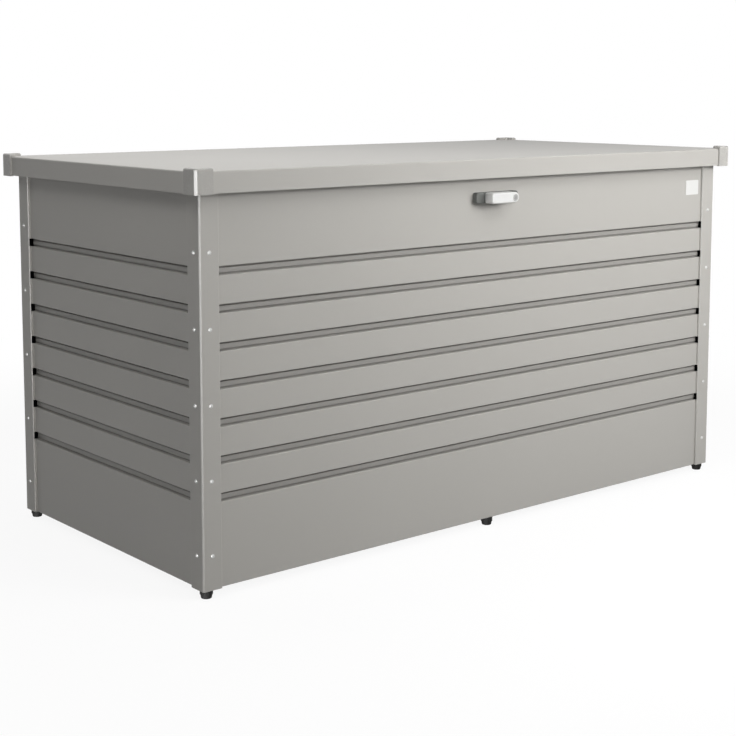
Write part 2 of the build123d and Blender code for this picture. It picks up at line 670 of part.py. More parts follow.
def screw_form(radius, head_radius, head_height, socket, length):
    """One dome-headed screw standing head up, with its seat at the origin and a hexagon socket."""
    with BuildPart() as screw:
        with BuildSketch(Plane.XZ):
            with BuildLine():
                Polyline((0, -length), (radius, -length), (radius, 0), (head_radius, 0))
                dome_line(head_radius, head_height)
                Line((0, head_height), (0, -length))
            make_face()
        revolve(axis=Axis.Z)
        with BuildSketch(Plane.XY.offset(head_height)):
            RegularPolygon(socket / 2, 6, major_radius=False)
        extrude(amount=-SCREW_SOCKET_DEPTH, mode=Mode.SUBTRACT)
    return screw.part


def rivet_form(grip):
    """One rivet standing head up, with its seat at the origin and its closed end past the grip."""
    end_radius = (RIVET_RADIUS + RIVET_HEAD_RADIUS) / 2
    with BuildPart() as rivet:
        with BuildSketch(Plane.XZ):
            with BuildLine():
                Polyline(
                    (0, -grip - RIVET_HEAD_HEIGHT),
                    (end_radius, -grip - RIVET_HEAD_HEIGHT),
                    (end_radius, -grip),
                    (RIVET_RADIUS, -grip),
                    (RIVET_RADIUS, 0),
                    (RIVET_HEAD_RADIUS, 0),
                )
                dome_line(RIVET_HEAD_RADIUS, RIVET_HEAD_HEIGHT)
                Line((0, RIVET_HEAD_HEIGHT), (0, -grip - RIVET_HEAD_HEIGHT))
            make_face()
        revolve(axis=Axis.Z)
    return rivet.part


def nut_form(across_flats, height, thread_radius):
    """One hexagon nut standing on the origin."""
    with BuildPart() as nut:
        with BuildSketch():
            RegularPolygon(across_flats / 2, 6, major_radius=False)
            Circle(thread_radius + THREAD_CLEARANCE, mode=Mode.SUBTRACT)
        extrude(amount=height)
    return nut.part


def save_group(name, form, seats):
    """Set one fastener's form on each of its seats and write the group."""
    with BuildPart() as group:
        with Locations(*seats):
            add(form)
    save(group, name)


os.makedirs("parts", exist_ok=True)

FRONT = Vector(0, -1, 0)
REAR = Vector(0, 1, 0)
LEFT = Vector(-1, 0, 0)
RIGHT = Vector(1, 0, 0)

# Walls
screw_hole = SCREW_RADIUS + HOLE_CLEARANCE
foot_hole = FOOT_SCREW_RADIUS + HOLE_CLEARANCE
for end_name, facing, sy in (("front", FRONT, -1), ("rear", REAR, 1)):
    face = Plane.XZ.offset(-sy * WALL_Y)
    holes = [
        (face, LONG_SCREW_SPOTS, screw_hole),
        (Plane.XY.offset(FOOT_HEIGHT), [spot for spot in FOOT_SPOTS if spot[1] * sy > 0], foot_hole),
    ]
    if facing == FRONT:
        holes.append((face, [(0, LOCK_Z)], BARREL_RADIUS + HOLE_CLEARANCE))
        holes.append((Plane.XY.offset(BODY_TOP), BUFFER_SPOTS, BUFFER_STEM_RADIUS + HOLE_CLEARANCE))
    else:
        holes.append((face, BODY_LEAF_SPOTS, RIVET_RADIUS + RIVET_CLEARANCE))
    trims = [(BODY_TOP, LONG_RETURN), (FOOT_HEIGHT, LONG_RETURN)]
    fold_wall(f"{end_name}_wall", facing, WALL_Y, LONG_WALL, holes, trims)

for side_name, facing, sx in (("left", LEFT, -1), ("right", RIGHT, 1)):
    holes = [(Plane.YZ.offset(sx * WALL_X), SHORT_SCREW_SPOTS, screw_hole)]
    trims = [
        (BODY_TOP, WALL_Y - WALL_TOP_RETURN - WALL_CORNER_GAP),
        (FOOT_HEIGHT, WALL_Y - WALL_BOTTOM_RETURN - WALL_CORNER_GAP),
    ]
    fold_wall(f"{side_name}_wall", facing, WALL_X, SHORT_WALL, holes, trims)

# Corner posts and their screws
for end_name, sy in ENDS.items():
    for side_name, sx in SIDES.items():
        fold_post(f"corner_post_{end_name}_{side_name}", sx, sy)

grip = POST_LIP + WALL_SHEET
post_screw = screw_form(
    SCREW_RADIUS, SCREW_HEAD_RADIUS, SCREW_HEAD_HEIGHT, SCREW_SOCKET, grip + NUT_HEIGHT + SCREW_TAIL
)
post_nut = nut_form(NUT_ACROSS_FLATS, NUT_HEIGHT, SCREW_RADIUS)
screw_seats = []
nut_seats = []
for facing, spots, post_level in (
    (FRONT, LONG_SCREW_SPOTS, POST_Y),
    (REAR, LONG_SCREW_SPOTS, POST_Y),
    (LEFT, SHORT_SCREW_SPOTS, POST_X),
    (RIGHT, SHORT_SCREW_SPOTS, POST_X),
):
    screw_seats += place_at(spots, post_level, facing)
    nut_seats += place_at(spots, post_level - grip - NUT_HEIGHT, facing)
save_group("post_screws", post_screw, screw_seats)
save_group("post_nuts", post_nut, nut_seats)

# Seals at the grooves' ends, between the grooves' lands and the posts' flanges
seal_depth = POST_LIP - POST_SHEET + GROOVE_LAND_DEPTH
seal_edge = POST_FLANGE - SEAL_INSET - SEAL_LENGTH / 2
with BuildPart() as seal:
    with BuildSketch():
        RectangleRounded(GROOVE_MOUTH - 2 * SEAL_GAP, SEAL_LENGTH, SEAL_CORNER_RADIUS)
    extrude(amount=seal_depth)
seal_seats = []
for facing, half, level in (
    (FRONT, POST_X, WALL_Y),
    (REAR, POST_X, WALL_Y),
    (LEFT, POST_Y, WALL_X),
    (RIGHT, POST_Y, WALL_X),
):
    spots = [(side * (half - seal_edge), z) for side in SIDES.values() for z in GROOVE_HEIGHTS]
    seal_seats += place_at(spots, level - GROOVE_LAND_DEPTH, facing)
save_group("groove_seals", seal.part, seal_seats)

# Floor
with BuildPart() as floor_panel:
    with BuildSketch(Plane.XY.offset(FLOOR_BOTTOM)):
        Rectangle(2 * (WALL_X - WALL_SHEET - FLOOR_GAP), 2 * (WALL_Y - WALL_SHEET - FLOOR_GAP))
        with Locations(*FOOT_SPOTS):
            Circle(foot_hole, mode=Mode.SUBTRACT)
    extrude(amount=FLOOR_SHEET)
save(floor_panel, "floor_panel")

bearer_half = WALL_Y - WALL_BOTTOM_RETURN - BEARER_GAP
for place, x in BEARER_PLACES.items():
    fold_hat(
        f"floor_bearer_{place}",
        x,
        FLOOR_BOTTOM,
        BEARER_WIDTH,
        BEARER_FLANGE,
        BEARER_DEPTH,
        -bearer_half,
        bearer_half,
    )

# Feet
for end_name, sy in ENDS.items():
    for place, x in FOOT_PLACES.items():
        turn_foot(f"foot_{end_name}_{place}", x, sy * (POST_Y - FOOT_INSET))

foot_screw_length = FLOOR_TOP + FOOT_NUT_HEIGHT + SCREW_TAIL - FOOT_SCREW_RECESS
foot_screw = screw_form(
    FOOT_SCREW_RADIUS, FOOT_SCREW_HEAD_RADIUS, FOOT_SCREW_HEAD_HEIGHT, FOOT_SCREW_SOCKET, foot_screw_length
)
foot_nut = nut_form(FOOT_NUT_ACROSS_FLATS, FOOT_NUT_HEIGHT, FOOT_SCREW_RADIUS)
save_group(
    "foot_screws", foot_screw, [Plane((x, y, FOOT_SCREW_RECESS), z_dir=(0, 0, -1)) for x, y in FOOT_SPOTS]
)
save_group("foot_nuts", foot_nut, [Plane((x, y, FLOOR_TOP)) for x, y in FOOT_SPOTS])

# Lid
with BuildPart() as lid_panel:
    with BuildSketch(Plane.XY.offset(LID_BOTTOM)):
        RectangleRounded(LID_LENGTH, LID_DEPTH, LID_CORNER_RADIUS)
    extrude(amount=LID_SKIRT)
    fillet(lid_panel.faces().sort_by(Axis.Z)[-1].edges(), LID_EDGE_RADIUS)
    offset(amount=-LID_SHEET, openings=lid_panel.faces().sort_by(Axis.Z)[0])
    with BuildSketch(Plane.XY.offset(LID_BOTTOM)):
        RectangleRounded(LID_LENGTH, LID_DEPTH, LID_CORNER_RADIUS)
        Rectangle(LID_LENGTH - 2 * LID_RETURN, LID_DEPTH - 2 * LID_RETURN, mode=Mode.SUBTRACT)
    extrude(amount=LID_SHEET)
    drill(Plane.XZ.offset(-LID_DEPTH / 2), LID_LEAF_SPOTS, RIVET_RADIUS + RIVET_CLEARANCE)
save(lid_panel, "lid_panel")

for end_name, sy in ENDS.items():
    for side_name, sx in SIDES.items():
        mould_cap(f"lid_cap_{end_name}_{side_name}", sx, sy)

for place, x in STIFFENER_PLACES.items():
    fold_hat(
        f"lid_stiffener_{place}",
        x,
        LID_UNDERSIDE,
        STIFFENER_WIDTH,
        STIFFENER_FLANGE,
        STIFFENER_DEPTH,
        STIFFENER_FRONT,
        STIFFENER_REAR,
    )

# Hinges
for place, x in HINGE_PLACES.items():
    hinge_body_leaf(f"hinge_{place}_body_leaf", x)
    hinge_lid_leaf(f"hinge_{place}_lid_leaf", x)
    hinge_pin(f"hinge_{place}_pin", x)

body_rivet = rivet_form(HINGE_SHEET + WALL_SHEET)
lid_rivet = rivet_form(LID_SHEET + HINGE_SHEET)
save_group("hinge_body_rivets", body_rivet, place_at(BODY_LEAF_SPOTS, WALL_Y + HINGE_SHEET, REAR))
save_group("hinge_lid_rivets", lid_rivet, place_at(LID_LEAF_SPOTS, LID_DEPTH / 2, REAR))

# Gas struts
for side_name, sx in SIDES.items():
    strut_body_bracket(f"strut_body_bracket_{side_name}", sx)
    strut_lid_bracket(f"strut_lid_bracket_{side_name}", sx)
    strut_cylinder(f"strut_cylinder_{side_name}", sx)
    strut_rod(f"strut_rod_{side_name}", sx)

# Lock
with BuildPart() as lock_base:
    with BuildSketch(Plane.XZ.offset(WALL_Y)):
        with Locations((0, LOCK_Z)):
            RectangleRounded(LOCK_BASE_LENGTH, LOCK_BASE_HEIGHT, LOCK_BASE_RADIUS)
    extrude(amount=LOCK_BASE_DEPTH)
    fillet(lock_base.faces().sort_by(Axis.Y)[0].edges(), LOCK_BASE_EDGE)
    add_disc(Plane.XZ.offset(WALL_Y), (0, LOCK_Z), BARREL_RADIUS, BARREL_END - WALL_Y)
    spindle_hole = SPINDLE_RADIUS + RUNNING_CLEARANCE
    drill(Plane.XZ.offset(WALL_Y), [(0, LOCK_Z)], spindle_hole, LEVER_FRONT - BARREL_END)
save(lock_base, "lock_base")

lock_nut = nut_form(LOCK_NUT_ACROSS_FLATS, LOCK_NUT_HEIGHT, BARREL_RADIUS)
lock_nut_level = WALL_Y - WALL_SHEET - LOCK_NUT_HEIGHT
save_group("lock_nut", lock_nut, place_at([(0, LOCK_Z)], lock_nut_level, FRONT))

with BuildPart() as lock_handle:
    with BuildSketch(Plane.XZ.offset(LEVER_BACK)) as lever:
        with Locations((0, LOCK_Z)):
            RectangleRounded(LEVER_LENGTH, LEVER_HEIGHT, LEVER_CORNER_RADIUS)
        with Locations((PLUG_X, LOCK_Z)):
            Rectangle(LEVER_HEIGHT, LEVER_HEIGHT, align=(Align.MIN, Align.CENTER), mode=Mode.SUBTRACT)
            Circle(LEVER_HEIGHT / 2)
    extrude(amount=LEVER_DEPTH)
    fillet(lock_handle.faces().sort_by(Axis.Y)[0].edges(), LEVER_EDGE_RADIUS)
    add_disc(Plane.XZ.offset(LEVER_BACK), (0, LOCK_Z), LEVER_BOSS_RADIUS, LEVER_BOSS_GAP - LEVER_GAP)
    add_disc(Plane.XZ.offset(LEVER_BACK), (0, LOCK_Z), SPINDLE_RADIUS, CAM_FRONT - LEVER_BACK)
    with BuildSketch(Plane.XZ.offset(CAM_FRONT)):
        with Locations((0, LOCK_Z)):
            Rectangle(SPINDLE_SQUARE, SPINDLE_SQUARE)
    extrude(amount=-CAM_SHEET)
    drill(
        Plane.XZ.offset(CAM_BACK),
        [(0, LOCK_Z)],
        CAM_SCREW_RADIUS + THREAD_CLEARANCE,
        CAM_SCREW_LENGTH + CAM_SCREW_END_GAP,
    )
    drill(
        Plane.XZ.offset(LEVER_FRONT),
        [(PLUG_X, LOCK_Z)],
        PLUG_RADIUS + RUNNING_CLEARANCE,
        PLUG_DEPTH + PLUG_END_GAP,
    )
save(lock_handle, "lock_handle")

with BuildPart() as key_plug:
    plug_back = Plane.XZ.offset(LEVER_FRONT - PLUG_DEPTH)
    add_disc(plug_back, (PLUG_X, LOCK_Z), PLUG_RADIUS, PLUG_DEPTH + PLUG_PROUD)
    with BuildSketch(Plane.XZ.offset(LEVER_FRONT + PLUG_PROUD)):
        with Locations((PLUG_X, LOCK_Z)):
            Rectangle(KEYWAY_WIDTH, KEYWAY_HEIGHT)
    extrude(amount=-KEYWAY_DEPTH, mode=Mode.SUBTRACT)
save(key_plug, "key_plug")

with BuildPart() as lock_cam:
    with BuildSketch(Plane.XZ.offset(CAM_FRONT)):
        with Locations((0, LOCK_Z)):
            Circle(CAM_WIDTH / 2)
            Rectangle(CAM_WIDTH, CAM_LENGTH, align=(Align.CENTER, Align.MIN))
            square = SPINDLE_SQUARE + SQUARE_CLEARANCE
            Rectangle(square, square, mode=Mode.SUBTRACT)
    extrude(amount=-CAM_SHEET)
save(lock_cam, "lock_cam")

cam_screw = screw_form(
    CAM_SCREW_RADIUS, CAM_SCREW_HEAD_RADIUS, CAM_SCREW_HEAD, CAM_SCREW_SOCKET, CAM_SCREW_LENGTH
)
save_group("lock_cam_screw", cam_screw, [Plane((0, -CAM_BACK, LOCK_Z), z_dir=(0, 1, 0))])

lip_top = LOCK_Z - CAM_WIDTH / 2 - CATCH_LIP_GAP
with BuildPart() as lid_catch:
    with BuildSketch(Plane.YZ.offset(CATCH_OFFSET - CATCH_WIDTH / 2)):
        with Locations((-CATCH_FRONT, LID_UNDERSIDE)):
            Rectangle(
                CATCH_SHEET, LID_UNDERSIDE - lip_top + CATCH_SHEET, align=(Align.MIN, Align.MAX)
            )
            Rectangle(CATCH_FLANGE, CATCH_SHEET, align=(Align.MIN, Align.MAX))
        with Locations((-CAM_FRONT, lip_top)):
            Rectangle(CAM_FRONT - CATCH_FRONT + CATCH_SHEET, CATCH_SHEET, align=(Align.MIN, Align.MAX))
    extrude(amount=CATCH_WIDTH)
save(lid_catch, "lid_catch")

# Rubber buffers
buffer_height = LID_UNDERSIDE - BODY_TOP - BUFFER_GAP
with BuildPart() as lid_buffers:
    for spot in BUFFER_SPOTS:
        add_disc(Plane.XY.offset(BODY_TOP), spot, BUFFER_RADIUS, buffer_height)
        add_disc(Plane.XY.offset(BODY_TOP), spot, BUFFER_STEM_RADIUS, -WALL_SHEET)
        add_disc(Plane.XY.offset(BODY_TOP - WALL_SHEET), spot, BUFFER_BULB_RADIUS, -BUFFER_BULB)
save(lid_buffers, "lid_buffers")

# Blank plate
plate_x = POST_X - POST_FLANGE - PLATE_POST_GAP - PLATE_WIDTH / 2
with BuildPart() as blank_plate:
    with BuildSketch(Plane.XZ.offset(WALL_Y)):
        with Locations((plate_x, BODY_TOP - PLATE_DROP)):
            RectangleRounded(PLATE_WIDTH, PLATE_HEIGHT, PLATE_RADIUS)
    extrude(amount=PLATE_THICKNESS)
save(blank_plate, "blank_plate")
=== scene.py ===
"""Looks of a lockable deck storage box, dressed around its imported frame."""

import json
import logging
import math
from dataclasses import dataclass, field
from enum import Enum
from typing import Any, Iterable, Mapping, Optional, Sequence, Union

import bmesh
import bpy
from mathutils import Matrix, Vector


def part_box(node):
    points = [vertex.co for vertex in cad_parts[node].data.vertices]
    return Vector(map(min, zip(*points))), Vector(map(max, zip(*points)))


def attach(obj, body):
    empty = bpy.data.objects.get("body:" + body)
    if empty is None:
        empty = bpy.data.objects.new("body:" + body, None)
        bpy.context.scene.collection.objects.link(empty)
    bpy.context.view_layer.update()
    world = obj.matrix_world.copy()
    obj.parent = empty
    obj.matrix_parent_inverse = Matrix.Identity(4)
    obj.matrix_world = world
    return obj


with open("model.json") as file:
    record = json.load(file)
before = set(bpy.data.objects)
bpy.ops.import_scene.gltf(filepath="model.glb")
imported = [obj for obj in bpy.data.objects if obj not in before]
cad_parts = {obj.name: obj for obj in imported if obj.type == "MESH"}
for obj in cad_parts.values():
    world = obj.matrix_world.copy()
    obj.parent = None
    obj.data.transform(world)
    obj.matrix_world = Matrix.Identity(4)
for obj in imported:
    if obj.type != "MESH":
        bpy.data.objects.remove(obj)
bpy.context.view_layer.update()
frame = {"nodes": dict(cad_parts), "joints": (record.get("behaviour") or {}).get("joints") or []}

FRAME_PIXELS = 736.0
SENSOR_MM = 36.0
WHITE = (1.0, 1.0, 1.0, 1.0)
LOG = logging.getLogger("storage_box")

Colour = tuple[float, float, float]
Point = tuple[float, float, float]
Number = Union[float, "Socket"]

SIDES = ("left", "right")
ENDS = ("front", "rear")
PLACES = ("left", "middle", "right")


class Body(Enum):
    """Bodies of the frame that new pieces ride on."""

    BOX = "box"
    LID = "lid"
    HANDLE = "lock_handle"
    CYLINDER_LEFT = "strut_cylinder_left"
    CYLINDER_RIGHT = "strut_cylinder_right"


class Slot(Enum):
    """Material slots of the record that pieces take their finish from."""

    PAINT = "panel_paint"
    CAP = "cap_plastic"
    GALVANISED = "galvanised_sheet"
    FOOT = "foot_plastic"
    ZINC = "zinc_fastener"
    HINGE = "hinge_steel"
    STRUT_BLACK = "strut_black"
    STRUT_CHROME = "strut_chrome"
    LOCK_BLACK = "lock_black"
    LOCK_SILVER = "lock_silver"
    LOCK_PLUG = "lock_brass"
    LOCK_STEEL = "lock_steel"
    RUBBER = "buffer_rubber"
    PLATE = "plate_white"


class Socket:
    """One output of a shader node that takes part in Python sums."""

    def __init__(self, shader: "Shader", output: bpy.types.NodeSocket) -> None:
        """Keep the output and the shader that it belongs to."""
        self.shader = shader
        self.output = output

    def _sum(self, operation: str, first: Number, second: Number) -> "Socket":
        """Add a Math node for one operation on two values."""
        return self.shader.node("ShaderNodeMath", {"operation": operation}, {0: first, 1: second})

    def __add__(self, other: Number) -> "Socket":
        """Value plus another."""
        return self._sum("ADD", self, other)

    def __sub__(self, other: Number) -> "Socket":
        """Value less another."""
        return self._sum("SUBTRACT", self, other)

    def __rsub__(self, other: Number) -> "Socket":
        """Another less value."""
        return self._sum("SUBTRACT", other, self)

    def __mul__(self, other: Number) -> "Socket":
        """Value times another."""
        return self._sum("MULTIPLY", self, other)

    def larger(self, other: Number) -> "Socket":
        """The larger of value and another."""
        return self._sum("MAXIMUM", self, other)

    def smaller(self, other: Number) -> "Socket":
        """The smaller of value and another."""
        return self._sum("MINIMUM", self, other)

    def size(self) -> "Socket":
        """Value without its sign."""
        return self._sum("ABSOLUTE", self, 0.0)


class Shader:
    """Node tree of one material or world, built by method calls."""

    def __init__(self, owner: Union[bpy.types.Material, bpy.types.World]) -> None:
        """Start with an empty tree.

        Args:
            owner: the material or world whose nodes are made.
        """
        owner.use_nodes = True
        self.tree = owner.node_tree
        self.tree.nodes.clear()

    def node(
        self,
        kind: str,
        settings: Optional[Mapping[str, Any]] = None,
        inputs: Optional[Mapping[Union[int, str], Any]] = None,
        output: Union[int, str] = 0,
    ) -> Socket:
        """Add one node.

        Args:
            kind: the node's type.
            settings: the node's own settings, which are set first; "stops" fills a colour ramp.
            inputs: values or sockets of its inputs, by index or name.
            output: which of its outputs is wanted.

        Returns:
            The wanted output.
        """
        made = self.tree.nodes.new(kind)
        for name, value in (settings or {}).items():
            if name == "stops":
                self._fill_ramp(made.color_ramp, value)
            else:
                setattr(made, name, value)
        for key, value in (inputs or {}).items():
            if isinstance(value, Socket):
                self.tree.links.new(value.output, made.inputs[key])
            else:
                made.inputs[key].default_value = value
        return Socket(self, made.outputs[output])

    @staticmethod
    def _fill_ramp(ramp: bpy.types.ColorRamp, stops: Sequence[tuple[float, float]]) -> None:
        """Set a ramp's grey stops.

        Args:
            ramp: the ramp of a Color Ramp node.
            stops: pairs of place and grey level, two or more.
        """
        while len(ramp.elements) < len(stops):
            ramp.elements.new(0.5)
        for element, (place, grey) in zip(ramp.elements, stops):
            element.position = place
            element.color = (grey, grey, grey, 1.0)

    def place(self, scale: Point = (1.0, 1.0, 1.0)) -> Socket:
        """Object coordinates in metres, stretched by a scale."""
        spot = self.node("ShaderNodeTexCoord", output="Object")
        return self.node("ShaderNodeMapping", inputs={"Vector": spot, "Scale": scale})

    def noise(self, place: Socket, scale: float, detail: float = 2.0, rough: float = 0.5) -> Socket:
        """Noise from 0 to 1 with so many cells to the metre."""
        values = {"Vector": place, "Scale": scale, "Detail": detail, "Roughness": rough}
        return self.node("ShaderNodeTexNoise", inputs=values)

    def ramp(self, value: Socket, stops: Sequence[tuple[float, float]]) -> Socket:
        """Remap a value through grey stops."""
        return self.node("ShaderNodeValToRGB", {"stops": stops}, {0: value})

    def blend(self, share: Number, first: Any, second: Any) -> Socket:
        """Mix two colours by a share."""
        settings = {"data_type": "RGBA"}
        return self.node("ShaderNodeMix", settings, {0: share, 6: first, 7: second}, output=2)

    def bump(self, height: Socket, depth: float, strength: float = 1.0) -> Socket:
        """Normal of a surface raised by height times depth in metres."""
        values = {"Height": height, "Distance": depth, "Strength": strength}
        return self.node("ShaderNodeBump", inputs=values)

    def close(self, surface: Socket, kind: str = "ShaderNodeOutputMaterial") -> None:
        """Add the tree's output node and link the finished shader to it."""
        end = self.tree.nodes.new(kind)
        self.tree.links.new(surface.output, end.inputs["Surface"])


def rgba(colour: Colour, level: float = 1.0) -> tuple[float, float, float, float]:
    """A colour times a level, with full alpha."""
    return (colour[0] * level, colour[1] * level, colour[2] * level, 1.0)


@dataclass(frozen=True)
class Finish:
    """What every finish has: a colour, a roughness and how it takes light."""

    name: str
    colour: Colour
    roughness: float
    metallic: float = 0.0
    specular: float = 0.5

    def surface(self, shader: Shader) -> dict[str, Any]:
        """Give the sockets that change over the surface.

        Args:
            shader: the tree to add nodes to.

        Returns:
            Values or sockets by the surface shader's input names.
        """
        raise NotImplementedError

    def material(self) -> bpy.types.Material:
        """Make the finish's material, or give the one that is there."""
        label = f"{self.name}_finish"
        found = bpy.data.materials.get(label)
        if found is not None:
            return found
        made = bpy.data.materials.new(label)
        shader = Shader(made)
        values = {"Metallic": self.metallic, "Specular IOR Level": self.specular}
        values.update(self.surface(shader))
        shader.close(shader.node("ShaderNodeBsdfPrincipled", inputs=values))
        made.diffuse_color = rgba(self.colour)
        return made


@dataclass(frozen=True)
class PowderCoat(Finish):
    """Stoved powder paint: a fine orange peel, faint flecks and slow drifts of tone."""

    peel_cells: float = 480.0
    peel_depth: float = 0.00006
    fleck_cells: float = 1500.0
    drift_cells: float = 2.6
    drift_share: float = 0.6
    drift_sheen: float = 0.08
    fleck_sheen: float = 0.06
    fleck_height: float = 0.3
    spread: float = 0.035

    def surface(self, shader: Shader) -> dict[str, Any]:
        """Paint tone, sheen and peel."""
        place = shader.place()
        drift = shader.noise(place, self.drift_cells, 3.0)
        fleck = shader.noise(place, self.fleck_cells, 1.0)
        peel = shader.noise(place, self.peel_cells, 2.0, 0.45)
        tone = drift * self.drift_share + fleck * (1.0 - self.drift_share)
        sheen = (drift - 0.5) * self.drift_sheen + (fleck - 0.5) * self.fleck_sheen
        light = rgba(self.colour, 1.0 + self.spread)
        dark = rgba(self.colour, 1.0 - self.spread)
        return {
            "Base Color": shader.blend(tone, dark, light),
            "Roughness": sheen + self.roughness,
            "Normal": shader.bump(peel + fleck * self.fleck_height, self.peel_depth),
        }


@dataclass(frozen=True)
class GroovedPaint(PowderCoat):
    """Powder paint of the grooved walls, with painted shade that greys the grooves from outside."""

    half_length: float = 0.764
    half_depth: float = 0.362
    groove_reach: float = 0.0105
    # how dark the painted groove shade gets, and its ramp by depth behind the face
    groove_shade_level: float = 0.2
    groove_shade_stops: tuple[tuple[float, float], ...] = (
        (0.1, 0.0),
        (0.38, 0.3),
        (0.6, 0.34),
        (0.72, 0.52),
        (1.0, 0.58),
    )
    turn_blend: float = 0.01

    def surface(self, shader: Shader) -> dict[str, Any]:
        """Paint with painted shade darkening the grooves."""
        values = super().surface(shader)
        # painted shade: the paint colour darkened where occlusion shade falls in the grooves
        groove_shade_colour = rgba(self.colour, self.groove_shade_level)
        values["Base Color"] = shader.blend(self.painted_groove_shade(shader), values["Base Color"], groove_shade_colour)
        return values

    def painted_groove_shade(self, shader: Shader) -> Socket:
        """How much painted shade darkens a spot, by its depth behind the wall's face.

        Args:
            shader: the tree to add nodes to.

        Returns:
            Nought on the faces and on the inside, rising into the grooves.
        """
        spot = shader.node("ShaderNodeTexCoord", output="Object")
        facing = shader.node("ShaderNodeTexCoord", output="Normal")
        across = shader.node("ShaderNodeSeparateXYZ", inputs={0: spot}, output="X")
        along = shader.node("ShaderNodeSeparateXYZ", inputs={0: spot}, output="Y")
        depth = (self.half_length - across.size()).smaller(self.half_depth - along.size())
        reach = {"Value": depth, "From Max": self.groove_reach}
        level = shader.node("ShaderNodeMapRange", inputs=reach)
        flat = shader.node(
            "ShaderNodeVectorMath", {"operation": "MULTIPLY"}, {0: spot, 1: (1.0, 1.0, 0.0)}
        )
        outward = shader.node(
            "ShaderNodeVectorMath", {"operation": "DOT_PRODUCT"}, {0: flat, 1: facing}, "Value"
        )
        turn = {"Value": outward, "From Min": -self.turn_blend, "From Max": self.turn_blend}
        outside = shader.node("ShaderNodeMapRange", inputs=turn)
        # painted shade: darker the deeper a spot lies in the groove, on outward faces only
        return shader.ramp(level, self.groove_shade_stops) * outside


@dataclass(frozen=True)
class MouldedPlastic(Finish):
    """Moulded plastic with a spark-eroded grain."""

    grain_cells: float = 900.0
    grain_depth: float = 0.00005
    grains_to_flow: float = 40.0
    flow_share: float = 0.7
    grain_sheen: float = 0.12
    flow_sheen: float = 0.06
    spread: float = 0.04

    def surface(self, shader: Shader) -> dict[str, Any]:
        """Grain, slight tone and sheen."""
        place = shader.place()
        grain = shader.noise(place, self.grain_cells, 3.0, 0.6)
        flow = shader.noise(place, self.grain_cells / self.grains_to_flow, 2.0)
        tone = flow * self.flow_share + grain * (1.0 - self.flow_share)
        sheen = (grain - 0.5) * self.grain_sheen + (flow - 0.5) * self.flow_sheen
        light = rgba(self.colour, 1.0 + self.spread)
        dark = rgba(self.colour, 1.0 - self.spread)
        return {
            "Base Color": shader.blend(tone, dark, light),
            "Roughness": sheen + self.roughness,
            "Normal": shader.bump(grain, self.grain_depth),
        }


@dataclass(frozen=True)
class GalvanisedSheet(Finish):
    """Hot-dip zinc: crystal spangle of several greys with its own sheen."""

    spangle_cells: float = 95.0
    haze_cells: float = 700.0
    warp_share: float = 0.6
    warp_reach: float = 0.01
    spangle_share: float = 0.75
    spangle_sheen: float = 0.14
    haze_sheen: float = 0.08
    edge_depth: float = 0.00003
    spread: float = 0.16

    def surface(self, shader: Shader) -> dict[str, Any]:
        """Spangle tone, sheen and faint crystal edges."""
        place = shader.place()
        warp = shader.noise(place, self.spangle_cells * self.warp_share, 2.0)
        bent = shader.node(
            "ShaderNodeVectorMath", {"operation": "ADD"}, {0: place, 1: warp * self.warp_reach}
        )
        cells = {"Vector": bent, "Scale": self.spangle_cells}
        crystal = shader.node("ShaderNodeTexVoronoi", inputs=cells, output="Color")
        grey = shader.node("ShaderNodeSeparateColor", inputs={0: crystal})
        haze = shader.noise(place, self.haze_cells, 3.0)
        tone = grey * self.spangle_share + haze * (1.0 - self.spangle_share)
        sheen = (grey - 0.5) * self.spangle_sheen + (haze - 0.5) * self.haze_sheen
        light = rgba(self.colour, 1.0 + self.spread)
        dark = rgba(self.colour, 1.0 - self.spread)
        return {
            "Base Color": shader.blend(tone, dark, light),
            "Roughness": sheen + self.roughness,
            "Normal": shader.bump(tone, self.edge_depth),
        }


@dataclass(frozen=True)
class PlatedSteel(Finish):
    """Bright or dull plating with fine scratches along one way."""

    stretch: Point = (1.0, 1.0, 1.0)
    scratch_cells: float = 800.0
    scratch_depth: float = 0.00002
    scratch_sheen: float = 0.16
    cloud_cells: float = 90.0
    cloud_sheen: float = 0.06
    spread: float = 0.08

    def surface(self, shader: Shader) -> dict[str, Any]:
        """Cloudy tone, scratches and their sheen."""
        place = shader.place()
        along = shader.place(self.stretch)
        scratch = shader.noise(along, self.scratch_cells, 4.0, 0.65)
        cloud = shader.noise(place, self.cloud_cells, 2.0)
        sheen = (scratch - 0.5) * self.scratch_sheen + (cloud - 0.5) * self.cloud_sheen
        light = rgba(self.colour, 1.0 + self.spread)
        dark = rgba(self.colour, 1.0 - self.spread)
        return {
            "Base Color": shader.blend(cloud * 0.5 + scratch * 0.5, dark, light),
            "Roughness": sheen + self.roughness,
            "Normal": shader.bump(scratch, self.scratch_depth),
        }


@dataclass(frozen=True)
class SoftRubber(Finish):
    """Black rubber with bloom and a matt skin."""

    bloom_cells: float = 160.0
    bloom_level: float = 1.8
    skin_cells: float = 1800.0
    skin_depth: float = 0.00004
    skin_sheen: float = 0.1

    def surface(self, shader: Shader) -> dict[str, Any]:
        """Bloom in patches and a fine skin."""
        place = shader.place()
        bloom = shader.noise(place, self.bloom_cells, 4.0, 0.6)
        skin = shader.noise(place, self.skin_cells, 2.0)
        patch = shader.ramp(bloom, ((0.45, 0.0), (0.75, 1.0)))
        return {
            "Base Color": shader.blend(
                patch, rgba(self.colour), rgba(self.colour, self.bloom_level)
            ),
            "Roughness": (skin - 0.5) * self.skin_sheen + self.roughness,
            "Normal": shader.bump(skin, self.skin_depth),
        }


